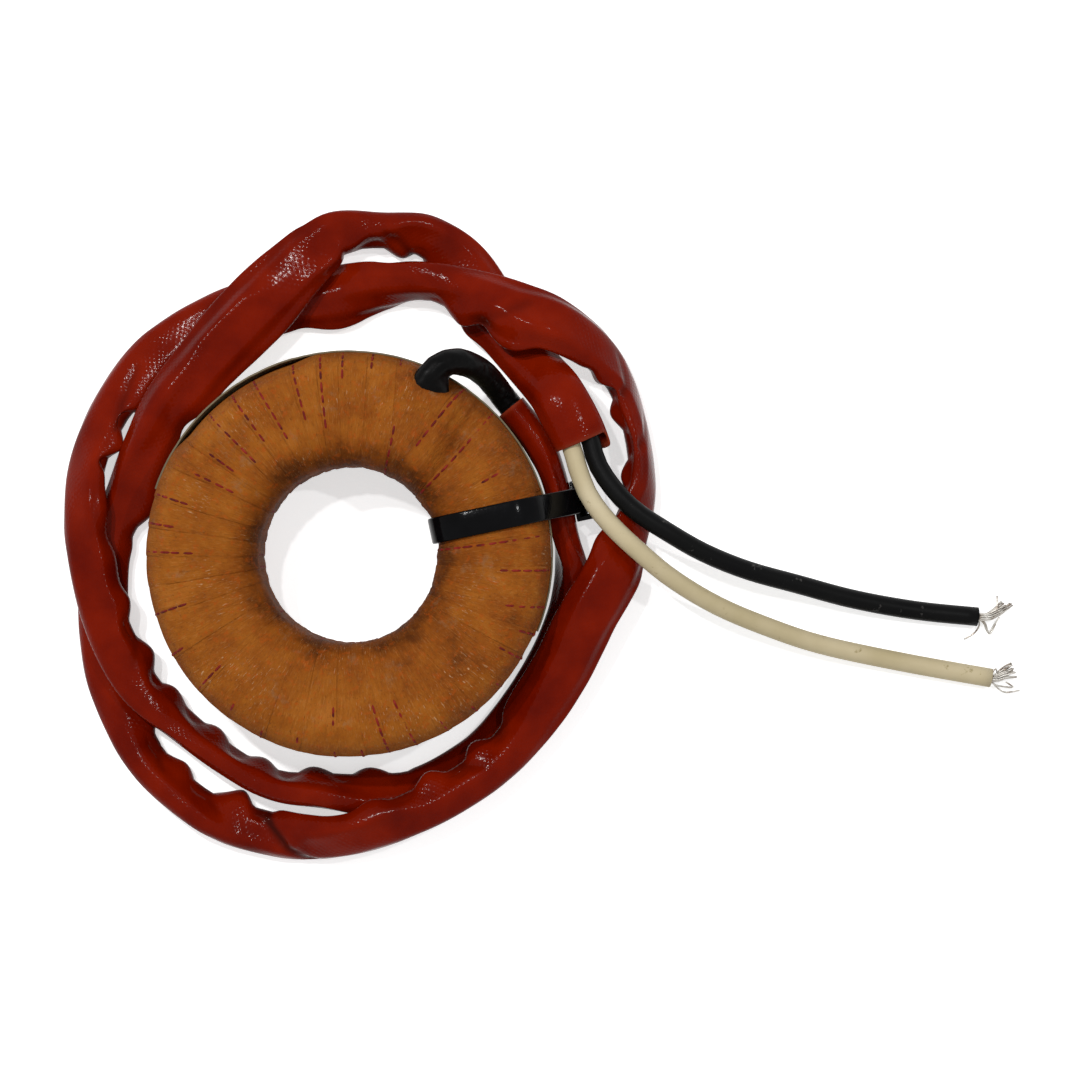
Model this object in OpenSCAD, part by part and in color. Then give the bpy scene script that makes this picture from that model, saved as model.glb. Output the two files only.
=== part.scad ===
// Taped ring current transformer with two flying leads in a common sleeve.
// Origin: centre of the underside of the ring, on the axis of its window.
// +Z runs up the window axis; the leads leave towards +X. Millimetres.

/* [Taped ring] */
// Diameter over the outer cotton tape
ring_od = 62.6; // [62.2:0.1:62.8]
// Clear diameter of the window through the tape
ring_id = 27.4; // [26.8:0.1:28]
// Height over the outer tape
ring_h = 21.1; // [20.6:0.1:21.4]
// Rounding of the taped section's corners
corner_r = 5.5; // [5:0.1:6]
// Build of the outer cotton tape
tape_t = 1.6; // [1.4:0.1:1.8]
// How far the lap of each tape turn shifts its arc
lap_shift = 1; // [0.4:0.1:1.2]
// Build of the clear film under the tape
film_t = 0.3; // [0.2:0.05:0.5]
// Winding build outside, above and below the core
wire_out = 1.1; // [1:0.05:1.2]
// Winding build in the window, where the turns crowd
wire_in = 2.1; // [1.8:0.1:2.3]
// Build of the insulating wrap on the core
wrap_t = 0.4; // [0.3:0.05:0.5]
// Thickness of the pressboard rings on the core's ends
end_ring_t = 0.8; // [0.6:0.1:1]
// Winding wire diameter
wire_d = 1; // [0.8:0.05:1]

/* [Label band] */
// Height of the paper band round the ring
band_h = 10.4; // [8:0.1:10.4]
// Height of the band's lower edge
band_z = 5; // [5:0.1:6]
// Thickness of the band
band_t = 0.25; // [0.15:0.01:0.26]

/* [Cable tie] */
// Strap width
strap_w = 4; // [3.6:0.1:4.8]
// Strap thickness
strap_t = 1.1; // [1:0.05:1.2]
// How deep the strap bites into the tape
strap_bite = 0.45; // [0.3:0.05:0.55]
// Head width across the strap
head_w = 6.4; // [6:0.1:7]
// Head height along the strap
head_h = 5.6; // [5:0.1:6]
// Head depth outwards from the strap's inner face
head_t = 3.1; // [2.8:0.1:3.6]

/* [Leads] */
// Diameter over each lead's insulation
lead_d = 3; // [2.6:0.05:3]
// Diameter of each bare twisted end
bare_d = 1.4; // [1.2:0.05:1.5]
// Diameter of a loose strand
strand_d = 0.4; // [0.3:0.05:0.5]
// Length of each joint between winding wire and lead
joint_l = 7.5; // [6:0.5:8]

/* [Sleeves] */
// Wall of the red lead sleeve
sleeve_wall = 0.3; // [0.25:0.01:0.32]
// Width of the black exit sleeve's oval
exit_w = 6.9; // [6.8:0.05:7]
// Thickness of the black exit sleeve's oval
exit_t = 3.9; // [3.8:0.05:4]
// Wall of the black exit sleeve
exit_wall = 0.25; // [0.2:0.01:0.28]

/* [Hidden] */

ring_or = ring_od / 2;
ring_ir = ring_id / 2;
film_or = ring_or - tape_t;
film_ir = ring_ir + tape_t;
wind_or = film_or - film_t;
wind_ir = film_ir + film_t;
wrap_or = wind_or - wire_out;
wrap_ir = wind_ir + wire_in;
core_or = wrap_or - wrap_t;
core_ir = wrap_ir + wrap_t;
core_base = tape_t + film_t + wire_out + wrap_t + end_ring_t;
core_h = ring_h - 2 * core_base;
lap_n = 24;
lap_a = 360 / lap_n;
lap_step = lap_shift * sin(lap_a + 1);

// Where the two joints end and the leads begin: position, then the heading of the joints.
joint_rise = 0.35;
joint_end = [11.2, 21.6, ring_h + joint_rise];
joint_way = [0.47, 0.883, 0];
joint_side = [-0.883, 0.47, 0];
lead_pitch = 1.55;

// Cable tie plane: heading of the strap and its offset from the ring's axis.
tie_turn = 12;
tie_off = 0.9;
tie_x = 33.75;

// Route of the two leads under the tape and through the exit sleeve:
// x, y, z, roll of the pair, width and thickness of the oval round it.
exit_route = [
    [11.2, 21.6, 21.4, 0],
    [11.7, 22.54, 21.4, 0],
    [12.3, 24, 21.5, 18],
    [12.8, 25.6, 21.5, 40],
    [13.4, 27.2, 21.3, 62],
    [14.3, 28.6, 20.8, 80],
    [15.8, 29.5, 19.8, 90],
    [17.6, 29.5, 17.6, 90],
    [19.6, 28.9, 14.4, 90],
    [21.4, 27.6, 11, 90],
    [22.8, 26, 8.4, 90],
    [23.9, 24.6, 7, 90],
    [25, 23.2, 6.6, 90],
    [27.2, 20.3, 6.5, 90]];

// Route of the red sleeve: x, y, z, roll, width, thickness of its flattened section.
sleeve_route = [
    [25, 23.2, 6.6, 90, 8, 4.8],
    [29.4, 17.4, 6.4, 90, 8, 4.8],
    [32, 11, 6.2, 90, 9, 3.9],
    [33.5, 4, 6, 90, 9, 3.9],
    [34.6, -4, 4.4, 55, 8, 3.9],
    [33.6, -11, 3.2, 30, 7.5, 3.9],
    [30.5, -18.5, 2.4, 10, 7.5, 3.9],
    [25.5, -25.5, 2.2, 0, 7, 3.9],
    [19.5, -32, 2.3, 5, 7, 3.9],
    [11, -36.8, 2.4, 10, 7, 3.9],
    [3.5, -37.6, 3, 30, 7.5, 3.9],
    [-4, -37, 3.8, 55, 8, 3.9],
    [-12.5, -36, 4.3, 70, 8, 3.9],
    [-20, -32, 4.4, 70, 8, 3.9],
    [-27, -26.5, 4.3, 60, 8, 3.9],
    [-32.5, -21.5, 5.2, 40, 8, 3.9],
    [-36.5, -14.5, 6.3, 15, 7.5, 3.9],
    [-39.5, -7, 6.4, 0, 7.5, 3.9],
    [-41, 1, 6.5, -10, 7.5, 3.9],
    [-42, 8.5, 6, -35, 8, 3.9],
    [-41.2, 15.5, 4, -40, 8, 3.9],
    [-38, 22.8, 3.2, -25, 7.5, 3.9],
    [-33, 29.5, 2.5, -10, 8, 3.9],
    [-26.5, 35, 2.3, 0, 7.5, 3.9],
    [-18.5, 38.5, 2.2, 0, 8, 3.9],
    [-10, 39.5, 2.2, 0, 9.5, 3.9],
    [-2, 41, 2.3, 0, 9.5, 3.9],
    [1.2, 41.8, 2.9, 18, 9.2, 4],
    [4.5, 42.5, 3.6, 35, 9, 3.9],
    [11, 43, 5.6, 50, 7.5, 3.9],
    [17.5, 41, 7.6, 10, 8, 3.9],
    [24.5, 38, 10.6, -10, 10, 3.9],
    [31.5, 36, 11, -20, 9.5, 3.9],
    [37.8, 32.2, 7.8, -35, 8, 3.9],
    [42, 27, 5, -70, 9, 3.9],
    [44.5, 19.5, 4.8, -80, 9, 3.9],
    [45.5, 12, 5, -75, 9, 3.9],
    [44.8, 7.8, 5.8, -58, 8.8, 4],
    [43.5, 4, 6.8, -40, 8.5, 3.9],
    [42.2, 0.3, 8.1, -28, 9, 4],
    [40.5, -3.5, 9.3, -15, 9.5, 3.9],
    [36.5, -10.5, 9.4, -10, 9.5, 3.9],
    [33, -17.5, 7.6, -5, 9.5, 3.9],
    [29, -24, 6.9, 0, 9, 3.9],
    [23.5, -31.5, 6.6, 0, 7.5, 3.9],
    [16, -37, 7.2, 0, 7, 3.9],
    [7.5, -41, 7.6, -15, 7.5, 3.9],
    [0, -43.8, 6.4, -35, 8, 3.9],
    [-8, -44.4, 3.8, -25, 8, 3.9],
    [-16, -43, 2.5, 0, 7.5, 3.9],
    [-20.5, -41.5, 2.9, 20, 7.5, 4],
    [-24.5, -39.5, 3.4, 40, 7.5, 3.9],
    [-31.5, -33.5, 3, 35, 7, 3.9],
    [-36, -25.5, 2.3, 0, 7.5, 3.9],
    [-39, -17, 2.2, 0, 7.5, 3.9],
    [-39.5, -7.5, 2.2, 0, 8, 3.9],
    [-39, 1, 2.2, 0, 8, 3.9],
    [-35.2, 9, 2.8, 0, 8, 3.9],
    [-32, 16.5, 5.6, 0, 8.5, 3.9],
    [-28, 24, 6.8, 0, 9, 3.9],
    [-21.5, 31.5, 6.5, 0, 10.5, 3.9],
    [-14.5, 39, 6.5, 0, 11.5, 3.9],
    [-8, 45.5, 6.5, 0, 10, 3.9],
    [-5, 48.3, 6.2, 15, 8.8, 4],
    [-2, 50.5, 5.8, 30, 7.5, 3.9],
    [5, 51, 4.2, 50, 7.5, 3.9],
    [11.5, 50, 3.2, 30, 8, 3.9],
    [17, 45.5, 2.5, 0, 9.5, 3.9],
    [21.5, 39, 3.2, 0, 9.5, 3.9],
    [25.5, 33.5, 5.2, 0, 9, 3.9],
    [28.8, 29.2, 7.6, 0, 8.5, 3.9],
    [31.8, 25.4, 11.4, 0, 8.5, 3.9],
    [34, 21.6, 12, 0, 8.5, 3.9],
    [35.8, 17.6, 11.8, 0, 8, 3.9]];

// Each lead from the red sleeve's mouth to where its insulation stops.
black_out = [
    [38.4, 14.2, 12.1], [41, 10.2, 12.4], [44.4, 6.8, 12.4], [49, 3.8, 11.6], [55, 0.4, 9.8],
    [62, -2.4, 7.6], [70, -4.6, 5.2], [79, -7, 3.2], [89, -8.8, 1.9], [98.8, -9.8, 1.5]];
cream_out = [
    [35.4, 13.4, 12.2], [37.2, 9, 12.6], [40.4, 4.8, 13], [44.6, 0.8, 12.8], [50, -3.6, 11],
    [57, -7.8, 8.6], [65, -11.2, 6], [74, -14.2, 3.6], [87, -17, 2], [100.9, -19.5, 1.5]];

// Bare ends: the twisted bundle and its loose strands, from the insulation outwards.
black_bare = [[98.8, -9.8, 1.5], [99.4, -9.86, 1.48], [100.8, -9.6, 1.4], [102.4, -8.6, 1.2], [104, -7.4, 1]];
black_loose = [
    [[99, -10.2, 1.5], [99.1, -11.2, 1], [98.4, -12.4, 0.6], [96.8, -13.4, 0.4]],
    [[99.1, -9.9, 1.2], [100.1, -10.9, 0.8], [100.8, -12.6, 0.4], [101.8, -10.9, 0.5]]];
cream_bare = [[100.9, -19.5, 1.5], [101.5, -19.61, 1.48], [103, -18.8, 1.3], [105, -18, 1.1]];
cream_loose = [
    [[101, -19.8, 1.2], [101.8, -20.9, 0.8], [103.3, -21.8, 0.4], [105.6, -21.5, 0.4]]];

function unit(v) = v / norm(v);
function spot(r, i) = [r[i][0], r[i][1], r[i][2]];
function heading(r, i) = unit(spot(r, min(i + 1, len(r) - 1)) - spot(r, max(i - 1, 0)));
function level(r, i) = let (t = heading(r, i)) unit([-t[1], t[0], 0]);
function lift(r, i) = cross(heading(r, i), level(r, i));
function across(r, i) = level(r, i) * cos(r[i][3]) + lift(r, i) * sin(r[i][3]);
function upright(r, i) = lift(r, i) * cos(r[i][3]) - level(r, i) * sin(r[i][3]);

// A flattened section of twelve points, and a round one.
function flat_ring(w, t) = [for (k = [0:11])
    let (a = k < 6 ? -90 + 36 * k : 90 + 36 * (k - 6), s = k < 6 ? 1 : -1)
    [s * (w - t) / 2 + cos(a) * t / 2, sin(a) * t / 2]];
function round_ring(d, n) = [for (k = [0:n - 1]) [cos(360 * k / n) * d / 2, sin(360 * k / n) * d / 2]];
function flat_points(r, cut) = [for (i = [0:len(r) - 1])
    for (p = flat_ring(r[i][4] - 2 * cut, r[i][5] - 2 * cut))
    spot(r, i) + across(r, i) * p[0] + upright(r, i) * p[1]];
function round_points(r, d, n) = [for (i = [0:len(r) - 1])
    for (p = round_ring(d, n)) spot(r, i) + level(r, i) * p[0] + lift(r, i) * p[1]];

// Skin between rings of n points, facing outwards or inwards.
function skin(m, n, base, out) = [for (i = [0:m - 2]) for (k = [0:n - 1])
    let (a = base + i * n + k, b = base + i * n + (k + 1) % n, c = b + n, d = a + n)
    each out ? [[a, d, c], [a, c, b]] : [[a, c, d], [a, b, c]]];
function rim(n, o, p, front) = [for (k = [0:n - 1])
    let (a = o + k, b = o + (k + 1) % n, c = p + (k + 1) % n, d = p + k)
    each front ? [[a, d, c], [a, c, b]] : [[a, c, d], [a, b, c]]];

module sweep_tube(r, cut) {
    m = len(r);
    n = 12;
    polyhedron(points = concat(flat_points(r, 0), flat_points(r, cut)),
        faces = concat(skin(m, n, 0, true), skin(m, n, m * n, false),
            rim(n, 0, m * n, false), rim(n, (m - 1) * n, (2 * m - 1) * n, true)));
}
module sweep_oval(r) {
    m = len(r);
    n = 12;
    polyhedron(points = flat_points(r, 0), faces = concat(skin(m, n, 0, true),
        [[for (k = [0:n - 1]) k], [for (k = [n - 1:-1:0]) (m - 1) * n + k]]));
}
module sweep_round(r, d, n) {
    m = len(r);
    polyhedron(points = round_points(r, d, n), faces = concat(skin(m, n, 0, true),
        [[for (k = [0:n - 1]) k], [for (k = [n - 1:-1:0]) (m - 1) * n + k]]));
}

// The route is drawn for a ring 21.1 high: what lies on top follows the ring's height, its low end stays.
route_top = 21.4;
route_foot = 6.6;
function raised(z) = z + (ring_h + joint_rise - route_top)
    * max(0, min(1, (z - route_foot) / (route_top - route_foot)));
exit_ovals = [for (p = exit_route) [p[0], p[1], raised(p[2]), p[3], exit_w, exit_t]];
pair_route = concat([for (i = [0:12]) exit_ovals[i]], [for (i = [1:len(sleeve_route) - 1]) sleeve_route[i]]);
function lead_route(side, out) = concat(
    [for (i = [0:len(pair_route) - 1]) spot(pair_route, i) + across(pair_route, i) * side * lead_pitch], out);

// Strap loop: circles [x, z, r] in the plane of the tie, anticlockwise.
bend_r = corner_r - strap_bite;
tie_loop = [
    [ring_ir + corner_r, strap_t + bend_r, bend_r],
    [tie_x, strap_t + 1.95, 1.95],
    [tie_x, 8.75, 1.95],
    [ring_or - corner_r, ring_h - corner_r, bend_r],
    [ring_ir + corner_r, ring_h - corner_r, bend_r]];
function leave(p, q) = let (d = [q[0] - p[0], q[1] - p[1]])
    atan2(d[1], d[0]) - 90 + asin((p[2] - q[2]) / norm(d));
function loop_points(c, grow) = [for (i = [0:len(c) - 1])
    let (p = c[i], a = leave(c[(i + len(c) - 1) % len(c)], p), b = leave(p, c[(i + 1) % len(c)]),
        turn = (b - a + 720) % 360)
    for (k = [0:8]) [p[0] + (p[2] + grow) * cos(a + turn * k / 8), p[1] + (p[2] + grow) * sin(a + turn * k / 8)]];

module rounded(w, h, r) {
    translate([r, 0]) square([w - 2 * r, h]);
    translate([0, r]) square([w, h - 2 * r]);
    for (x = [r, w - r], y = [r, h - r]) translate([x, y]) circle(r = r, $fn = 64);
}
module ring_body(r1, r2, z1, z2, r) {
    rotate_extrude($fn = 128) translate([r1, z1]) rounded(r2 - r1, z2 - z1, r);
}
module joint_rod(side, d) {
    at = joint_end - joint_way * joint_l + joint_side * side * lead_pitch;
    translate(at) rotate([0, 90, 61.96]) cylinder(d = d, h = joint_l, $fn = 48);
}
module leg_at(side) {
    at = joint_end - joint_way * (joint_l - lead_d / 2) + joint_side * side * lead_pitch;
    translate([at[0], at[1], 0]) children();
}
module wire_tail(side) {
    leg_at(side) translate([0, 0, ring_h - tape_t - film_t - 0.2]) cylinder(d = wire_d, h = film_t + 0.2, $fn = 32);
}
module joint(side) {
    joint_rod(side, lead_d);
    leg_at(side) translate([0, 0, ring_h - tape_t]) cylinder(d = 2 * wire_d, h = joint_end[2] - ring_h + tape_t, $fn = 32);
}
module in_tie_plane(w) {
    rotate([0, 0, tie_turn]) translate([0, tie_off + w / 2, 0]) rotate([90, 0, 0]) linear_extrude(w) children();
}
module strap(out = 0) {
    in_tie_plane(strap_w) difference() {
        polygon(loop_points(tie_loop, strap_t + out));
        polygon(loop_points(tie_loop, 0));
    }
}

module steel_core() {
    color("#8c8f92") translate([0, 0, core_base]) difference() {
        cylinder(r = core_or, h = core_h, $fn = 128);
        translate([0, 0, -1]) cylinder(r = core_ir, h = core_h + 2, $fn = 128);
    }
}
module core_ring(z) {
    color("#b89a6a") translate([0, 0, z]) difference() {
        cylinder(r = core_or, h = end_ring_t, $fn = 128);
        translate([0, 0, -1]) cylinder(r = core_ir, h = end_ring_t + 2, $fn = 128);
    }
}
module lower_core_ring() {
    core_ring(core_base - end_ring_t);
}
module upper_core_ring() {
    core_ring(core_base + core_h);
}
module core_wrap() {
    color("#d9c9a0") difference() {
        ring_body(wrap_ir, wrap_or, core_base - end_ring_t - wrap_t, core_base + core_h + end_ring_t + wrap_t, 0.6);
        rotate_extrude($fn = 128) translate([core_ir, core_base - end_ring_t])
            square([core_or - core_ir, core_h + 2 * end_ring_t]);
    }
}
module secondary_winding() {
    color("#a8571f") {
        difference() {
            ring_body(wind_ir, wind_or, tape_t + film_t, ring_h - tape_t - film_t, corner_r - tape_t - film_t);
            ring_body(wrap_ir, wrap_or, core_base - end_ring_t - wrap_t, core_base + core_h + end_ring_t + wrap_t, 0.6);
        }
        wire_tail(1);
        wire_tail(-1);
    }
}
module winding_film() {
    color("#d8d2b4") difference() {
        ring_body(film_ir, film_or, tape_t, ring_h - tape_t, corner_r - tape_t);
        ring_body(wind_ir, wind_or, tape_t + film_t, ring_h - tape_t - film_t, corner_r - tape_t - film_t);
        wire_tail(1);
        wire_tail(-1);
    }
}
module start_joint() {
    color("#2a2a2c") joint(1);
}
module finish_joint() {
    color("#2a2a2c") joint(-1);
}
module tape_lap(i) {
    rotate([0, 0, lap_a * i]) translate([0, lap_shift, 0]) rotate_extrude(angle = lap_a + 1, $fn = 128)
        translate([ring_ir, 0]) rounded(ring_or - lap_step - ring_ir, ring_h, corner_r);
}
module joint_cover() {
    low = joint_end - joint_way * (joint_l + 1.2);
    translate([low[0], low[1], ring_h - 3.6]) rotate([0, 0, -28.04]) rotate([-90, 0, 0]) mirror([0, 1, 0])
        linear_extrude(joint_l + 6.2) translate([-4.3, 0]) rounded(8.6, 6.3, 2);
}
module outer_tape() {
    color("#b4682a") difference() {
        union() {
            for (i = [0:lap_n - 1]) tape_lap(i);
            joint_cover();
        }
        ring_body(film_ir, film_or, tape_t, ring_h - tape_t, corner_r - tape_t);
        joint(1);
        joint(-1);
        sweep_oval([for (i = [0:6]) exit_ovals[i]]);
        strap(1.5);
    }
}
module rating_band() {
    color("#d9d2bd") rotate([0, 0, -22]) rotate_extrude(angle = 183, $fn = 128)
        translate([ring_or, band_z]) square([band_t, band_h]);
}
module exit_sleeve() {
    color("#18181a") sweep_tube(exit_ovals, exit_wall);
}
module lead_sleeve() {
    color("#9c2412") sweep_tube(sleeve_route, sleeve_wall);
}
module black_lead() {
    color("#1b1b1d") sweep_round(lead_route(1, black_out), lead_d, 8);
}
module cream_lead() {
    color("#b7ab85") sweep_round(lead_route(-1, cream_out), lead_d, 8);
}
module black_conductor() {
    color("#b9b7b2") {
        sweep_round(black_bare, bare_d, 8);
        for (s = black_loose) sweep_round(s, strand_d, 6);
    }
}
module cream_conductor() {
    color("#b9b7b2") {
        sweep_round(cream_bare, bare_d, 8);
        for (s = cream_loose) sweep_round(s, strand_d, 6);
    }
}
module cable_tie() {
    color("#161617") {
        strap();
        rotate([0, 0, tie_turn]) translate([tie_x + 1.95, tie_off - head_w / 2, 2.6]) cube([head_t, head_w, head_h]);
    }
}

steel_core();
lower_core_ring();
upper_core_ring();
core_wrap();
secondary_winding();
winding_film();
start_joint();
finish_joint();
outer_tape();
rating_band();
exit_sleeve();
lead_sleeve();
black_lead();
cream_lead();
black_conductor();
cream_conductor();
cable_tie();
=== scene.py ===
import bpy
import bmesh
import random
from math import asin, atan2, copysign, cos, degrees, dist, exp, hypot, pi, radians, sin, sqrt
from mathutils import Matrix, Vector, noise


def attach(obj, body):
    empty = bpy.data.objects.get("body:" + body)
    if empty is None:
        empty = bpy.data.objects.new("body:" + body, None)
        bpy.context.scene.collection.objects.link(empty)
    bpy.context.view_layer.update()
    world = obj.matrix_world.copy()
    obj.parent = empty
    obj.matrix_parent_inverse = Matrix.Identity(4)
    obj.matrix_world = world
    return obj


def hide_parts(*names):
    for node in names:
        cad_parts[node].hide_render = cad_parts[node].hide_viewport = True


# A cotton-taped ring current transformer lying flat, its two leads in a creased red sleeve
# that goes twice round it. Lengths in the lists below are millimetres, like the CAD source.

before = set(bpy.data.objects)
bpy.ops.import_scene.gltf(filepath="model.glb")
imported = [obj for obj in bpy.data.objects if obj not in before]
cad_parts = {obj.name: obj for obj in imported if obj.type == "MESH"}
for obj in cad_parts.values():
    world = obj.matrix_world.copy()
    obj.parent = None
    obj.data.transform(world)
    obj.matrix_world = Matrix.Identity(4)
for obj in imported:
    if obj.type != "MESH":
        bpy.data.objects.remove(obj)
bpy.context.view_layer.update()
mm = 0.001
print("frame loaded")


# small helpers

def toLinear(hexColour):
    parts = [int(hexColour[i:i + 2], 16) / 255 for i in (1, 3, 5)]
    return [p / 12.92 if p <= 0.04045 else ((p + 0.055) / 1.055) ** 2.4 for p in parts] + [1]


def feed(owner, node, **inputs):
    # inputs, by name or _place, are values, nodes whose first output is linked, or (node, output)
    for key, value in inputs.items():
        socket = node.inputs[int(key[1:])] if key[0] == "_" else node.inputs[key.replace("_", " ")]
        paired = isinstance(value, tuple) and hasattr(value[0], "outputs")
        source, output = value if paired else (value, 0)
        if hasattr(source, "outputs"):
            owner.node_tree.links.new(source.outputs[output], socket)
        else:
            socket.default_value = value


def addNode(owner, kind, settings=None, **inputs):
    # for a material or the world: "Math:ADD" also picks what the node does, settings are its others
    kind, _, choice = kind.partition(":")
    node = owner.node_tree.nodes.new("ShaderNode" + kind)
    if choice:
        setattr(node, "data_type" if kind == "Mix" else "operation", choice)
    for key, value in (settings or {}).items():
        if key == "stops":
            ramp = node.color_ramp
            while len(ramp.elements) < len(value):
                ramp.elements.new(0.5)
            for element, (place, colour) in zip(ramp.elements, value):
                element.position = place
                element.color = toLinear(colour) if isinstance(colour, str) else [colour] * 3 + [1]
        else:
            setattr(node, key, value)
    feed(owner, node, **inputs)
    return node


def newMaterial(name, colour="#808080", **inputs):
    material = bpy.data.materials.new(name)
    material.use_nodes = True
    shader = material.node_tree.nodes["Principled BSDF"]
    feed(material, shader, Base_Color=toLinear(colour), **inputs)
    return material, shader


def mottled(name, stops, cloud, rough=None, bump=None, **inputs):
    # a finish whose colour, and roughness if asked, follow one cloud of noise; bump is its strength,
    # depth in metres and the scale of a finer noise, or None for the cloud's own
    material, shader = newMaterial(name, **inputs)
    place = addNode(material, "TexCoord")
    mist = addNode(material, "TexNoise", Vector=(place, "Object"), **cloud)
    colour = addNode(material, "ValToRGB", {"stops": stops}, Fac=mist)
    feed(material, shader, Base_Color=colour)
    if rough:
        worn = addNode(material, "MapRange", Value=mist, To_Min=rough[0], To_Max=rough[1])
        feed(material, shader, Roughness=worn)
    if bump:
        strength, depth, fine = bump
        grain = mist
        if fine:
            grain = addNode(material, "TexNoise", Vector=(place, "Object"), Scale=fine, Detail=3)
        raised = addNode(material, "Bump", Strength=strength, Distance=depth, Height=grain)
        feed(material, shader, Normal=raised)
    return material, shader, place, colour


def smoothStep(a, b, x):
    t = min(1.0, max(0.0, (x - a) / (b - a)))
    return t * t * (3 - 2 * t)


def wander(x, y, z):
    # smooth noise from -1 to 1
    return noise.noise(Vector((x, y, z)))


def addObject(name, data):
    piece = bpy.data.objects.new(name, data)
    bpy.context.scene.collection.objects.link(piece)
    return piece


def blendRow(rows, t):
    # Catmull-Rom through rows of numbers, t from 0 to len(rows) - 1
    i = min(int(t), len(rows) - 2)
    f = t - i
    a, b, c, d = (rows[min(max(i + k, 0), len(rows) - 1)] for k in (-1, 0, 1, 2))
    return [0.5 * (2 * q + (r - p) * f + (2 * p - 5 * q + 4 * r - s) * f * f
            + (3 * q - p - 3 * r + s) * f ** 3) for p, q, r, s in zip(a, b, c, d)]


def evenRows(rows, spacing):
    # the same route as rows about `spacing` apart, each with its running length put last
    fine = [blendRow(rows, k / 24) for k in range(24 * (len(rows) - 1) + 1)]
    run = [0.0]
    for p, q in zip(fine, fine[1:]):
        run.append(run[-1] + dist(p[:3], q[:3]))
    count = max(2, round(run[-1] / spacing))
    out, j = [], 0
    for k in range(count + 1):
        want = run[-1] * k / count
        while j < len(run) - 2 and run[j + 1] < want:
            j += 1
        f = (want - run[j]) / max(run[j + 1] - run[j], 1e-9)
        out.append([a + (b - a) * min(f, 1) for a, b in zip(fine[j], fine[j + 1])] + [want])
    return out


def framesAlong(rows, reach=1):
    # heading, level side (to the left) and lift at each row
    out = []
    for i, row in enumerate(rows):
        p = Vector(rows[max(i - reach, 0)][:3])
        q = Vector(rows[min(i + reach, len(rows) - 1)][:3])
        ahead = (q - p).normalized()
        level = Vector((-ahead.y, ahead.x, 0)).normalized()
        out.append((Vector(row[:3]), ahead, level, ahead.cross(level)))
    return out


def rolled(level, lift, roll):
    # a section's own side and up, when it is turned about its heading
    a = radians(roll)
    return level * cos(a) + lift * sin(a), lift * cos(a) - level * sin(a)


def rounded(size, c, power):
    # c from -1 to 1 spread over a section that is boxier than an ellipse
    return size * copysign(abs(c) ** power, c)


def makeMesh(name, points, faces, material, uvs=None, shades=None):
    # points in mm; uvs one list per face; shades: {attribute: value per point}
    mesh = bpy.data.meshes.new(name)
    mesh.from_pydata([[c * mm for c in p] for p in points], [], faces)
    if uvs:
        layer = mesh.uv_layers.new(name="surface")
        flat = [c for face in uvs for corner in face for c in corner]
        layer.data.foreach_set("uv", flat)
    for key, values in (shades or {}).items():
        mesh.attributes.new(key, "FLOAT", "POINT").data.foreach_set("value", values)
    mesh.polygons.foreach_set("use_smooth", [True] * len(faces))
    mesh.materials.append(material)
    mesh.update()
    return addObject(name, mesh)


def turnOutwards(piece, middle=None):
    # all faces outwards, which for an open sheet is away from the middle given
    work = bmesh.new()
    work.from_mesh(piece.data)
    bmesh.ops.recalc_face_normals(work, faces=work.faces)
    if middle and sum(f.normal.dot(f.calc_center_median() - middle) for f in work.faces) < 0:
        bmesh.ops.reverse_faces(work, faces=work.faces)
    work.to_mesh(piece.data)
    work.free()
    return piece


def tubePoints(rows, diameter, sides):
    points = []
    for at, ahead, level, lift in framesAlong(rows):
        for k in range(sides):
            a = 2 * pi * k / sides
            points.append(at + (level * cos(a) + lift * sin(a)) * diameter / 2)
    return points


def tubeFaces(rings, sides, base=0, caps=True):
    faces = [(base + i * sides + k, base + i * sides + (k + 1) % sides,
              base + (i + 1) * sides + (k + 1) % sides, base + (i + 1) * sides + k)
             for i in range(rings - 1) for k in range(sides)]
    if caps:
        faces.append([base + k for k in reversed(range(sides))])
        faces.append([base + (rings - 1) * sides + k for k in range(sides)])
    return faces


def keep(piece, slotName, *nodes):
    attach(piece, "root")
    if nodes:
        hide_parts(*nodes)


# camera

cameraLook = {"place": (29.53, 2.34, 520), "lens": 109.2, "sensor": 36}
cameraData = bpy.data.cameras.new("camera")
cameraData.lens = cameraLook["lens"]
cameraData.sensor_width = cameraLook["sensor"]
camera = addObject("camera", cameraData)
camera.location = [c * mm for c in cameraLook["place"]]
bpy.context.scene.camera = camera


# routes, as in the CAD source

# under the tape and through the exit sleeve: x, y, z and roll, then the same width and thickness
exitRoute = [row + [6.9, 3.9] for row in [
    [11.2, 21.6, 21.45, 0], [11.7, 22.54, 21.45, 0], [12.3, 24, 21.55, 18], [12.8, 25.6, 21.55, 40],
    [13.4, 27.2, 21.35, 62], [14.3, 28.6, 20.848, 80], [15.8, 29.5, 19.845, 90],
    [17.6, 29.5, 17.637, 90], [19.6, 28.9, 14.426, 90], [21.4, 27.6, 11.015, 90], [22.8, 26, 8.406, 90],
    [23.9, 24.6, 7.001, 90], [25, 23.2, 6.6, 90], [27.2, 20.3, 6.5, 90]]]

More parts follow.
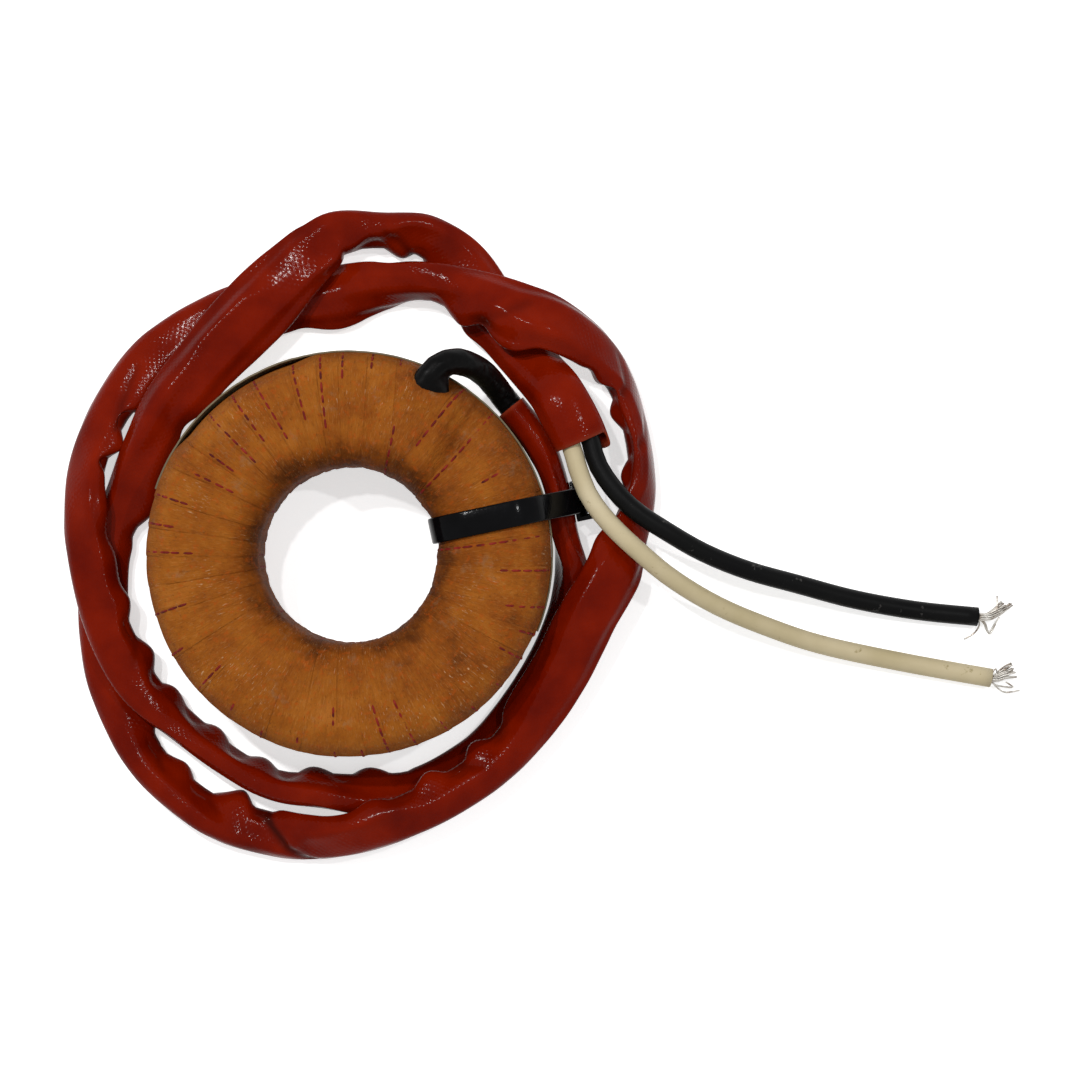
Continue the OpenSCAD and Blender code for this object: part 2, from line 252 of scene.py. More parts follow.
# the red sleeve: x, y, z, roll, width, and the thickness where it isn't the usual 3.9
sleeveRoute = [(row + [3.9])[:6] for row in [
    [25, 23.2, 6.6, 90, 8, 4.8], [29.4, 17.4, 6.4, 90, 8, 4.8], [32, 11, 6.2, 90, 9],
    [33.5, 4, 6, 90, 9], [34.6, -4, 4.4, 55, 8], [33.6, -11, 3.2, 30, 7.5], [30.5, -18.5, 2.4, 10, 7.5],
    [25.5, -25.5, 2.2, 0, 7], [19.5, -32, 2.3, 5, 7], [11, -36.8, 2.4, 10, 7], [3.5, -37.6, 3, 30, 7.5],
    [-4, -37, 3.8, 55, 8], [-12.5, -36, 4.3, 70, 8], [-20, -32, 4.4, 70, 8], [-27, -26.5, 4.3, 60, 8],
    [-32.5, -21.5, 5.2, 40, 8], [-36.5, -14.5, 6.3, 15, 7.5], [-39.5, -7, 6.4, 0, 7.5],
    [-41, 1, 6.5, -10, 7.5], [-42, 8.5, 6, -35, 8], [-41.2, 15.5, 4, -40, 8],
    [-38, 22.8, 3.2, -25, 7.5], [-33, 29.5, 2.5, -10, 8], [-26.5, 35, 2.3, 0, 7.5],
    [-18.5, 38.5, 2.2, 0, 8], [-10, 39.5, 2.2, 0, 9.5], [-2, 41, 2.3, 0, 9.5],
    [1.2, 41.8, 2.9, 18, 9.2, 4], [4.5, 42.5, 3.6, 35, 9], [11, 43, 5.6, 50, 7.5],
    [17.5, 41, 7.6, 10, 8], [24.5, 38, 10.6, -10, 10], [31.5, 36, 11, -20, 9.5],
    [37.8, 32.2, 7.8, -35, 8], [42, 27, 5, -70, 9], [44.5, 19.5, 4.8, -80, 9], [45.5, 12, 5, -75, 9],
    [44.8, 7.8, 5.8, -58, 8.8, 4], [43.5, 4, 6.8, -40, 8.5], [42.2, 0.3, 8.1, -28, 9, 4],
    [40.5, -3.5, 9.3, -15, 9.5], [36.5, -10.5, 9.4, -10, 9.5], [33, -17.5, 7.6, -5, 9.5],
    [29, -24, 6.9, 0, 9], [23.5, -31.5, 6.6, 0, 7.5], [16, -37, 7.2, 0, 7], [7.5, -41, 7.6, -15, 7.5],
    [0, -43.8, 6.4, -35, 8], [-8, -44.4, 3.8, -25, 8], [-16, -43, 2.5, 0, 7.5],
    [-20.5, -41.5, 2.9, 20, 7.5, 4], [-24.5, -39.5, 3.4, 40, 7.5], [-31.5, -33.5, 3, 35, 7],
    [-36, -25.5, 2.3, 0, 7.5], [-39, -17, 2.2, 0, 7.5], [-39.5, -7.5, 2.2, 0, 8], [-39, 1, 2.2, 0, 8],
    [-35.2, 9, 2.8, 0, 8], [-32, 16.5, 5.6, 0, 8.5], [-28, 24, 6.8, 0, 9], [-21.5, 31.5, 6.5, 0, 10.5],
    [-14.5, 39, 6.5, 0, 11.5], [-8, 45.5, 6.5, 0, 10], [-5, 48.3, 6.2, 15, 8.8, 4],
    [-2, 50.5, 5.8, 30, 7.5], [5, 51, 4.2, 50, 7.5], [11.5, 50, 3.2, 30, 8], [17, 45.5, 2.5, 0, 9.5],
    [21.5, 39, 3.2, 0, 9.5], [25.5, 33.5, 5.2, 0, 9], [28.8, 29.2, 7.6, 0, 8.5],
    [31.8, 25.4, 11.4, 0, 8.5], [34, 21.6, 12, 0, 8.5], [35.8, 17.6, 11.8, 0, 8]]]

blackOut = [
    [38.4, 14.2, 12.1], [41, 10.2, 12.4], [44.4, 6.8, 12.4], [49, 3.8, 11.6], [55, 0.4, 9.8],
    [62, -2.4, 7.6], [70, -4.6, 5.2], [79, -7, 3.2], [89, -8.8, 1.9], [98.8, -9.8, 1.5]]
creamOut = [
    [35.4, 13.4, 12.2], [37.2, 9, 12.6], [40.4, 4.8, 13], [44.6, 0.8, 12.8], [50, -3.6, 11],
    [57, -7.8, 8.6], [65, -11.2, 6], [74, -14.2, 3.6], [87, -17, 2], [100.9, -19.5, 1.5]]


# the two leads

leadLook = {"diameter": 3.0, "sides": 20, "spacing": 2.0, "apart": 1.55}


def leadRoute(side, out):
    # one lead of the pair: beside its fellow through both sleeves, then on its own
    pair = exitRoute[:-1] + sleeveRoute[1:]
    points = []
    for row, (at, ahead, level, lift) in zip(pair, framesAlong(pair)):
        points.append(list(at + rolled(level, lift, row[3])[0] * side * leadLook["apart"]))
    return points + out


def insulation(name, colours, scuff):
    # PVC insulation, extruded: satin, a little mottled by age, with dull rubbed patches
    material, shader, place, colour = mottled(
        name, list(zip((0.3, 0.55, 0.75), colours)), {"Scale": 90, "Detail": 4}, bump=(0.12, 0.0002, 1600),
        Roughness=0.3, IOR=1.53, Specular_IOR_Level=0.055)
    rub = addNode(material, "TexNoise", Vector=(place, "Object"), Scale=420, Detail=6, Roughness=0.7)
    mask = addNode(material, "ValToRGB", {"stops": [(0.63, 0.0), (0.7, 1.0)]}, Fac=rub)
    mixed = addNode(material, "Mix:RGBA", _0=mask, _6=colour, _7=toLinear(scuff))
    rough = addNode(material, "MapRange", Value=rub, To_Min=0.3, To_Max=0.55)
    feed(material, shader, Base_Color=(mixed, 2), Roughness=rough)
    return material


blackInsulation = insulation("pvcInsulationBlack", ["#070708", "#0b0b0b", "#111111"], "#4b4947")
creamInsulation = insulation("pvcInsulationCream", ["#b3a581", "#c0b291", "#cabd9e"], "#94855f")


def makeLead(name, side, out, material):
    rows = evenRows(leadRoute(side, out), leadLook["spacing"])
    points = tubePoints(rows, leadLook["diameter"], leadLook["sides"])
    piece = makeMesh(name, points, tubeFaces(len(rows), leadLook["sides"]), material)
    return piece, rows


blackLead, blackRows = makeLead("blackLead", 1, blackOut, blackInsulation)
creamLead, creamRows = makeLead("creamLead", -1, creamOut, creamInsulation)
keep(blackLead, "black_insulation", "black_lead")
keep(creamLead, "cream_insulation", "cream_lead")
print("leads", round(blackRows[-1][3]), round(creamRows[-1][3]), "mm")


# bare, frayed ends, from the CAD source's lines; the last two strays of each are for looks only

strandLook = {"diameter": 0.27, "sides": 6, "spacing": 0.35, "bundle": 22, "bundleRadius": 0.62,
              "turns": 1.9, "twist": 1.6, "flare": 1.6, "flat": 0.75}

blackBare = [
    [98.8, -9.8, 1.5], [99.4, -9.86, 1.48], [100.8, -9.6, 1.4], [102.4, -8.6, 1.2], [104, -7.4, 1]]
blackLoose = [
    [[99, -10.2, 1.5], [99.1, -11.2, 1], [98.4, -12.4, 0.6], [96.8, -13.4, 0.4]],
    [[99.1, -9.9, 1.2], [100.1, -10.9, 0.8], [100.8, -12.6, 0.4], [101.8, -10.9, 0.5]],
    [[98.6, -9.9, 1.1], [99.8, -10.8, 0.9], [100.6, -12.3, 0.5], [101.7, -10.8, 0.8], [102.3, -9.9, 1]],
    [[99.4, -9.6, 1.8], [101.6, -8.8, 1.6], [101.9, -8.0, 1.5], [101.9, -6.5, 1.3]]]
creamBare = [
    [100.9, -19.5, 1.5], [101.5, -19.61, 1.48], [103, -18.8, 1.3], [105, -18, 1.1]]
creamLoose = [
    [[101, -19.8, 1.2], [101.8, -20.9, 0.8], [103.3, -21.8, 0.4], [105.6, -21.5, 0.4]],
    [[100.6, -19.7, 1.4], [101.6, -20.6, 1], [103, -20.9, 0.6], [104.6, -21, 0.5], [103.4, -20.2, 0.6]],
    [[100.7, -19.3, 1.9], [101.2, -18.4, 2.1], [101.6, -18.0, 2], [102, -18.7, 1.6], [103.4, -19, 1.2]]]

# tinned copper: bright metal with dull, oxidised patches
tinned = mottled("tinnedCopperStrand", [(0.35, "#7d6f63"), (0.5, "#aaa59d"), (0.7, "#cfccc6")],
                 {"Scale": 700, "Detail": 5}, rough=(0.2, 0.5), colour="#b4b0a8",
                 Roughness=0.32, Metallic=1.0)[0]


def frayedEnd(name, core, loose, seed):
    # a loosely twisted bundle of strands that opens towards its end, and the strays
    chance = random.Random(seed)
    points, faces = [], []

    def lay(rows):
        rows = evenRows(rows, strandLook["spacing"])
        for row in rows:
            row[2] = max(row[2], strandLook["diameter"] / 2)
        base = len(points)
        points.extend(tubePoints(rows, strandLook["diameter"], strandLook["sides"]))
        faces.extend(tubeFaces(len(rows), strandLook["sides"], base))

    spine = framesAlong(evenRows(core, 0.5))
    for n in range(strandLook["bundle"]):
        turn = 2 * pi * n / strandLook["bundle"] * strandLook["turns"]
        out = strandLook["bundleRadius"] * sqrt((n + 0.5) / strandLook["bundle"])
        last = len(spine) - 1 - chance.randrange(0, 4)
        flare = chance.uniform(0.2, 1.3)
        bend = chance.uniform(-1, 1)
        rows = []
        for i in range(0, last + 1, 2):
            at, ahead, level, lift = spine[i]
            f = i / (len(spine) - 1)
            a = turn + strandLook["twist"] * f + bend * f * f
            r = out * (1 + flare * f * f * strandLook["flare"])
            rows.append(list(at + level * cos(a) * r + lift * sin(a) * min(r, strandLook["flat"])))
        if len(rows) > 2:
            lay(rows)
    for rows in loose:
        lay(rows)
    return makeMesh(name, points, faces, tinned)


blackEnd = frayedEnd("blackBareStrands", blackBare, blackLoose, 4)
creamEnd = frayedEnd("creamBareStrands", creamBare, creamLoose, 9)
keep(blackEnd, "tinned_strand", "black_conductor")
keep(creamEnd, "tinned_strand", "cream_conductor")

print("bare ends done")


# the red sleeve: varnished glass braid, pressed flat, creased and twisted
sleeveLook = {"length": 546, "rings": 900, "sides": 72, "wall": 0.3, "pocket": 15.0, "crumple": 0.11,
              "rollSwing": 2.0, "widthSwing": 0.05, "thinEdge": 0.5, "mouthLift": 0.16, "mouthLobe": 2.5,
              "ridgeWidth": 1.2, "ridgeRound": 0.7, "ridgeLift": 1.6, "softWidth": 1.7,
              "creaseWidth": 0.7, "creaseDepth": 0.55, "creaseHalf": 4, "puckerLength": 0.3,
              "swellHeight": 0.75, "swellLength": 0.36, "endLength": 9, "mouthLength": 13, "leadReach": 6,
              "cutEdge": 0.7}

# puckers on the slack inner edge: distance along the sleeve, depth and length
puckers = [
    [76, 0.9, 6.5], [85, 1.3, 6.5], [94, 1.5, 6.5], [103.5, 1.4, 6.5], [112.5, 1.3, 6.5],
    [121.5, 1.3, 6], [131, 1.2, 6.5], [147, 0.7, 7], [159.4, 1.7, 5.4], [168, 2.1, 6], [181, 0.8, 7],
    [204, 0.7, 8], [228, 1.0, 7], [237, 1.4, 7], [256.5, 0.7, 4.4], [262.5, 2.0, 6], [272.5, 2.0, 7],
    [285, 0.9, 7], [325.4, 1.5, 7], [335, 1.5, 6.5], [345, 1.1, 7], [370.5, 2.2, 6], [382, 1.7, 6.5],
    [393.3, 1.8, 7], [431, 0.9, 7], [450, 0.7, 8], [496, 1.4, 6], [504.5, 1.5, 6], [515, 0.9, 7]]

# creases across a face: distance along and place across (-1 to 1) of both ends, then how deep
creases = [
    [371, -0.95, 362, 0.9, 1.7], [166, -0.9, 176, 0.1, 0.7], [236, -0.9, 243, 0.3, 0.6],
    [503, -0.9, 497, 0.5, 0.8], [264, -0.9, 259, 0.3, 0.7], [96, -0.9, 92, -0.2, 0.6],
    [113, -0.9, 109, -0.2, 0.6], [383, -0.9, 378, 0.0, 0.6], [394, -0.9, 389, 0.0, 0.6],
    [130, -0.9, 126, -0.1, 0.6], [335, -0.9, 331, -0.1, 0.6], [273, -0.9, 269, -0.1, 0.6]]

# sharp ridges along the upper side: distance along, place across (-1 to 1), height
ridges = [
    [[0, 0.95, 0.1], [14, 0.8, 0.35], [25, 0.7, 0.4], [33, 0.05, 0.4], [48, -0.15, 0.3], [70, 0.1, 0.3],
     [84, 0.7, 0.35], [108, 0.85, 0.4], [118, 0.22, 0.45], [128, -0.27, 0.45], [137, -0.5, 0.45],
     [146, -0.55, 0.45], [157, -0.9, 0.3], [172, -0.9, 0.25], [186, -0.5, 0.35], [205, 0.1, 0.35],
     [233, 0.12, 0.45], [239, -0.1, 0.5], [245, -0.4, 0.5], [254, -0.75, 0.4], [264, -0.95, 0.2],
     [288, -0.95, 0.2], [298, -0.65, 0.45], [309, -0.38, 0.55], [324, 0.03, 0.55], [332, 0.02, 0.5],
     [341, 0.0, 0.5], [349, -0.6, 0.45], [355, -0.8, 0.45], [361, -0.55, 0.5], [367, 0.5, 0.5],
     [374, 0.75, 0.4], [386, 0.5, 0.4], [400, 0.1, 0.35], [418, 0.2, 0.35], [434, 0.56, 0.5],
     [440, 0.68, 0.55], [448, 0.28, 0.55], [458, 0.32, 0.6], [463, 0.5, 0.6], [471, 0.42, 0.5],
     [478, 0.1, 0.1], [484, -0.1, 0.0]],
    [[470, -0.95, 0.0], [478, -0.85, 0.3], [485, -0.7, 0.55], [491, -0.36, 0.6], [495, 0.5, 0.55],
     [502, 0.9, 0.3], [512, 0.7, 0.2], [528, 0.5, 0.25], [538, 0.35, 0.0]]]


def ridgesAt(along):
    # place across and height of the ridges that run past here
    found = []
    for line in ridges:
        for (u0, f0, h0), (u1, f1, h1) in zip(line, line[1:]):
            if u0 <= along < u1:
                t = smoothStep(u0, u1, along)
                found.append((f0 + (f1 - f0) * t, h0 + (h1 - h0) * t))
    return found


def creaseAt(along, f):
    # 0 to 1 near the line of a crease
    deepest = 0.0
    half = sleeveLook["creaseHalf"]
    for u0, f0, u1, f1, deep in creases:
        if min(u0, u1) - 3 < along < max(u0, u1) + 3:
            du, df = u1 - u0, (f1 - f0) * half
            hit = max(0.0, min(1.0, ((along - u0) * du + (f - f0) * half * df) / (du * du + df * df)))
            off = hypot(along - u0 - hit * du, (f - f0) * half - hit * df)
            deepest = max(deepest, deep * (1 - 0.5 * hit) * exp(-(off / sleeveLook["creaseWidth"]) ** 2))
    return deepest


leadPair = ((-leadLook["apart"], 0.0), (leadLook["apart"], 0.0))


def outsideLeads(x, y, inside=leadPair, clear=1.66):
    # keeps the skin off the two leads inside, whose middles in this section are given
    (ax, ay), (bx, by) = inside
    dx, dy = bx - ax, by - ay
    hit = max(0.0, min(1.0, ((x - ax) * dx + (y - ay) * dy) / max(dx * dx + dy * dy, 1e-6)))
    nx, ny = ax + dx * hit, ay + dy * hit
    gap = hypot(x - nx, y - ny)
    if gap >= clear:
        return x, y
    gap = max(gap, 1e-4)
    return nx + (x - nx) / gap * clear, ny + (y - ny) / gap * clear


def heldPast(x, first, second, way, apart=0.5):
    # x kept beyond both values on the side that way, from -1 to 1, points to
    if way > 0.5:
        return max(x, max(first, second) + apart)
    if way < -0.5:
        return min(x, min(first, second) - apart)
    return x


def leadsAt(at, ahead, start):
    # where the two leads cross this section's plane, searching onwards from the last crossing
    found = []
    for rows, j in zip((creamRows, blackRows), start):
        while j < len(rows) - 2 and (Vector(rows[j + 1][:3]) - at).dot(ahead) < 0:
            j += 1
        p, q = Vector(rows[j][:3]), Vector(rows[j + 1][:3])
        span = (q - p).dot(ahead)
        f = max(0.0, min(1.0, (at - p).dot(ahead) / span)) if abs(span) > 1e-6 else 0.0
        found.append((j, p + (q - p) * f))
    return found


def braidMaterial():
    # glass braid filled flush with alkyd varnish: deep saturated red, with painted shade that darkens the
    # folds, smooth but for a fine grain that breaks each highlight into glints
    material, shader = newMaterial("varnishedGlassBraid", Roughness=0.14, IOR=1.5,
                                   Specular_IOR_Level=0.045)
    place = addNode(material, "TexCoord")
    blotch = addNode(material, "TexNoise", Vector=(place, "Object"), Scale=110, Detail=4, Roughness=0.55)
    stops = [(0.3, "#5d0b00"), (0.5, "#6f1200"), (0.72, "#7d1902")]
    colour = addNode(material, "ValToRGB", {"stops": stops}, Fac=blotch)
    # painted shade: this attribute darkens creases, puckers, pinched edges and the insides of the mouths
    dent = addNode(material, "Attribute", {"attribute_name": "dent"})
    shadedFolds = addNode(material, "Mix:RGBA", _0=(dent, "Fac"), _6=colour, _7=toLinear("#3a0802"))
    rim = addNode(material, "Attribute", {"attribute_name": "rim"})
    cut = addNode(material, "Mix:RGBA", _0=(rim, "Fac"), _6=(shadedFolds, 2), _7=toLinear("#83301c"))
    # the braid's threads, 0.55 mm apart, show in patches where the varnish hasn't filled them
    glint = addNode(material, "TexNoise", Vector=(place, "Object"), Scale=1500, Detail=2, Roughness=0.5)
    threads = []
    for turn in (0.785, -0.785):
        laid = addNode(material, "Mapping", Vector=(place, "UV"), Rotation=(0, 0, turn))
        threads.append(addNode(material, "TexWave", {"wave_type": "BANDS"}, Vector=laid,
                               Scale=0.5, Distortion=2.6, Detail=2, Detail_Scale=1.4))
    weave = addNode(material, "Math:MULTIPLY", _0=(threads[0], "Fac"), _1=(threads[1], "Fac"))
    faint = addNode(material, "Math:MULTIPLY", _0=glint, _1=0.45)
    filled = addNode(material, "TexNoise", Vector=(place, "Object"), Scale=260, Detail=2)
    shows = addNode(material, "MapRange", Value=filled, From_Min=0.35, From_Max=0.65, To_Min=0.3)
    partly = addNode(material, "Math:MULTIPLY", _0=weave, _1=shows)
    both = addNode(material, "Math:ADD", _0=faint, _1=partly)
    bump = addNode(material, "Bump", Strength=0.24, Distance=0.0001, Height=both)
    worn = addNode(material, "MapRange", Value=blotch, To_Min=0.09, To_Max=0.16)
    feed(material, shader, Base_Color=(cut, 2), Roughness=worn, Normal=bump)
    return material


def sleeveRing(row, frameHere, total, inset=0.0, leads=None):
    # one ring of the flattened, slack section; returns points and the painted shade each gets in folds,
    # puckers and pinched edges
    at, ahead, level, lift = frameHere
    along = row[6]
    turned = row[3] + sleeveLook["rollSwing"] * wander(along / 13, 3.1, 0)
    roll = radians(turned)
    side, up = rolled(level, lift, turned)
    a = row[4] / 2 * (1 + sleeveLook["widthSwing"] * wander(along / 10, 8.2, 0)) - inset
    b = row[5] / 2 - inset
    # no folds near the two ends, and the mouth opens
    endLength = sleeveLook["endLength"]
    calm = smoothStep(0, endLength, along) * smoothStep(1.0, endLength, total - along)
    mouth = 1 - smoothStep(1.0, sleeveLook["mouthLength"], total - along)
    broad = smoothStep(6.8, 8.6, row[4]) * (1 - mouth)
    b *= 1 + sleeveLook["mouthLift"] * mouth
    half = abs(a * cos(roll)) + abs(b * sin(roll))
    # each pucker draws the inner edge in, and it swells out just past it
    pucker, swell = 0, 0
    for where, deep, length in puckers:
        pucker += deep * exp(-((along - where) / (length * sleeveLook["puckerLength"])) ** 2)
        past = (along - where - length * 0.75) / (length * sleeveLook["swellLength"])
        swell += deep * sleeveLook["swellHeight"] * exp(-past ** 2)
    sharp = ridgesAt(along)
    inside = [((p - at).dot(side), (p - at).dot(up)) for p in leads] if leads else None
    points, ringShades = [], []
    for k in range(sleeveLook["sides"]):
        t = 2 * pi * k / sleeveLook["sides"]
        c, s = cos(t), sin(t)
        x = rounded(a, c, 0.84 + 0.12 * mouth)
        y = rounded(b, s, 0.95)
        # the mouth rolls open on its outer side, where its underside stands further out
        x += 0.3 * mouth ** 6 * smoothStep(0.1, 1.0, c)
        y -= 0.35 * mouth ** 6 * smoothStep(0.2, 1.0, c)
        lobe = sleeveLook["mouthLobe"] * (1 - smoothStep(0, 5, total - along))
        lobe *= smoothStep(-0.1, 0.8, c) * (1 - smoothStep(-0.5, 0.5, s))
        # the leads lift the middle, and beyond them the flat edges pinch thinner
        slack = smoothStep(2.7, 4.3, abs(x)) * broad
        y *= 1 - sleeveLook["thinEdge"] * slack
        for f, high in sharp:
            off = hypot(x - f * a, sleeveLook["ridgeRound"]) - sleeveLook["ridgeRound"]
            shape = exp(-off / sleeveLook["ridgeWidth"])
            shape += exp(-((x - f * a) / sleeveLook["softWidth"]) ** 2)
            y += high * sleeveLook["ridgeLift"] / 2 * shape * smoothStep(0.0, 0.35, s) * calm
        soft = wander(along / 9, c * 1.1, s * 1.1 + 5) * sleeveLook["crumple"] * 1.5
        soft += wander(along / 3.6, c * 2.2, s * 2.2 + 9) * sleeveLook["crumple"] * 0.4
        x += c * soft * (0.3 + 0.7 * calm)
        y += s * soft * (0.3 + 0.7 * calm)
        inner = smoothStep(0.25, 1.0, -(x * cos(roll) - y * sin(roll)) / half)
        push = inner * (pucker - swell) * calm
        x += push * cos(roll)
        y -= push * sin(roll)
        fold = creaseAt(along, x / max(a, 0.1)) * smoothStep(0.1, 0.5, s) * calm
        y -= sleeveLook["creaseDepth"] * fold
        if inside:
            # no fold is pressed past the middle of a lead
            (x0, y0), (x1, y1) = inside
            x = heldPast(x, x0, x1, c)
            y = heldPast(y, y0, y1, s)
            x, y = outsideLeads(x, y, inside)
        points.append(at + side * x + up * y + ahead * lobe)
        # painted shade: darker in creases, puckers and the pinched flat edges, lighter where the crumple
        # bulges out
        deep = fold * 0.8 + inner * pucker * calm * 0.4 + slack * 0.12 - soft
        ringShades.append(min(1.0, max(0.0, deep)))
    return points, ringShades


def makeSleeve():
    rows = evenRows(sleeveRoute, sleeveLook["length"] / sleeveLook["rings"])
    frames = framesAlong(rows, 2)
    total = rows[-1][6]
    sides, count = sleeveLook["sides"], len(rows)
    points, foldShades, rims = [], [], []
    # the leads enter the sleeve where their own routes pass its first ring
    seek = []
    for lead in (creamRows, blackRows):
        nearest = min(range(len(lead) // 3), key=lambda j: (Vector(lead[j][:3]) - frames[0][0]).length)
        seek.append(max(nearest - 1, 0))
    for row, place in zip(rows, frames):
        crossing = leadsAt(place[0], place[1], seek)
        seek = [j for j, p in crossing]
        leads = [p for j, p in crossing]
        near = all((p - place[0]).length < sleeveLook["leadReach"] for p in leads)
        ring, depth = sleeveRing(row, place, total, leads=leads if near else None)
        points += ring
        foldShades += depth
        rims += [max(0.0, 1.0 - min(row[6], total - row[6]) / sleeveLook["cutEdge"])] * sides
    faces = tubeFaces(count, sides, caps=False)
    uvs = []
    around = 2 * (8 + 3.9) / sides
    for i in range(count - 1):
        u, v = rows[i][6], rows[i + 1][6]
        uvs += [[(u, k * around), (u, (k + 1) * around), (v, (k + 1) * around), (v, k * around)]
                for k in range(sides)]
    # each mouth turns in over its cut edge and runs back as an inner wall to a closing cap, with painted
    # shade that darkens towards the cap
    for edge, step in ((0, 1), (count - 1, -1)):
        reach = [edge]
        while abs(rows[reach[-1]][6] - rows[edge][6]) < sleeveLook["pocket"]:
            reach.append(reach[-1] + step * 2)
        last = [edge * sides + k for k in range(sides)]
        for n, i in enumerate(reach):
            ring, depth = sleeveRing(rows[i], frames[i], total, sleeveLook["wall"])
            base = len(points)
            points += ring
            # painted shade, darker the further into the mouth
            foldShades += [min(1.0, 0.25 + n * 0.12)] * sides
            rims += [1.0 if n == 0 else 0.0] * sides
            for k in range(sides):
                quad = (last[k], last[(k + 1) % sides], base + (k + 1) % sides, base + k)
                faces.append(quad if edge else tuple(reversed(quad)))
                uvs.append([(n * 1.5, k * around)] * 4)
            last = [base + k for k in range(sides)]
        faces.append(last if edge else list(reversed(last)))
        uvs.append([(0, 0)] * sides)
    shades = {"dent": foldShades, "rim": rims}
    return turnOutwards(makeMesh("redSleeve", points, faces, braidMaterial(), uvs, shades)), rows


redSleeve, sleeveRows = makeSleeve()
keep(redSleeve, "red_sleeving", "lead_sleeve")
print("sleeve", round(sleeveRows[-1][6]), "mm")


# the cotton tape: lap over lap round the ring, each with a red tracer thread near its edge
tapeLook = {"inner": 13.7, "outer": 31.05, "middle": 22, "height": 21.1, "corner": 5.5, "sides": 104,
            "columns": 16, "step": 0.11, "edgeTurn": 1.3, "wrinkle": 0.07, "slackness": 0.2, "highest": 0.2,
            "tieDent": 0.32, "shrunk": 0.7, "gather": 0.28}
tapeLook["wide"] = tapeLook["outer"] - tapeLook["inner"] - 2 * tapeLook["corner"]
tapeLook["tall"] = tapeLook["height"] - 2 * tapeLook["corner"]
tapeLook["bend"] = tapeLook["corner"] * pi / 2

# angle of each lap's tracer at radius 29 and 15, then the radii between which it shows
laps = [
    [-172, -172.4, 31, 30.5], [-162.9, -163.7, 31, 25.5], [-150.5, -151.8, 31, 30.5],
    [-138.3, -140.1, 31, 25.5], [-127, -129.5, 31, 30.5], [-116, -118.8, 31, 30.5],
    [-105, -107.8, 31, 30.5], [-93.9, -96.1, 31, 25], [-86, -89, 31, 30.5], [-78.5, -82.1, 31, 24.6],
    [-70.4, -73.8, 31, 23.3], [-60.5, -63, 31, 30.5], [-50.6, -52.6, 31, 30.5],
    [-40.7, -41.8, 31, 30.5], [-30.9, -31.6, 31, 27], [-23.5, -26.5, 31, 30.5], [-15.8, -22, 31, 25.3],
    [-4.6, -7.1, 31, 25], [5.6, 3.5, 31, 13.9], [17, 15.6, 31, 30.5], [28.4, 27.8, 31, 24],
    [36.4, 34.2, 31, 30.5], [43.8, 40.1, 31, 15], [55.1, 58, 29, 19.5], [73.5, 66, 22, 13.8],
    [82.5, 80.5, 31, 30.5], [91.3, 91.3, 31, 27.2], [98, 99.5, 31, 20.7], [106.3, 107, 31, 21.8],
    [118.2, 115.9, 31, 20.9], [125.9, 125.5, 31, 21.4], [134.5, 134.2, 31, 19.9],
    [143.5, 143.1, 31, 22.8], [152, 150.4, 31, 20.2], [162.2, 162.2, 31, 26.7],
    [170.7, 170.7, 31, 27.5], [179, 179.7, 31, 23.3]]
joint = {"low": (7.11, 13.92), "way": (0.47, 0.883), "length": 13.3, "rise": 2.55, "lip": 1.15}
tie = {"turn": 12.0, "offset": 0.9}


def tapeProfile(s):
    # s in mm round the section from the top face's outer end, inwards; gives r, z and the normal
    wide, tall, bend, c = (tapeLook[key] for key in ("wide", "tall", "bend", "corner"))
    r, z = tapeLook["outer"] - c, tapeLook["height"]
    s %= 2 * (wide + tall) + 4 * bend
    turn = pi / 2
    for run in (wide, tall, wide, tall):
        if s < run:
            break
        s -= run
        r, z = r + cos(turn + pi / 2) * run, z + sin(turn + pi / 2) * run
        if s < bend:
            a = s / c
            mid = (r - cos(turn) * c, z - sin(turn) * c)
            n = (cos(turn + a), sin(turn + a))
            return mid[0] + n[0] * c, mid[1] + n[1] * c, n
        s -= bend
        mid = (r - cos(turn) * c, z - sin(turn) * c)
        turn += pi / 2
        r, z = mid[0] + cos(turn) * c, mid[1] + sin(turn) * c
    n = (cos(turn), sin(turn))
    return r + cos(turn + pi / 2) * s, z + sin(turn + pi / 2) * s, n


tapeRound = 2 * (tapeLook["outer"] - tapeLook["inner"] + tapeLook["height"] - 4 * tapeLook["corner"]) \
    + 2 * pi * tapeLook["corner"]


def lapEdge(i, r):
    # angle of the edge of lap i at radius r; laps follow one another round the ring
    n = len(laps)
    row = laps[i % n]
    return row[0] + (row[1] - row[0]) * (29 - r) / 14 + tapeLook["edgeTurn"] + 360 * (i // n)


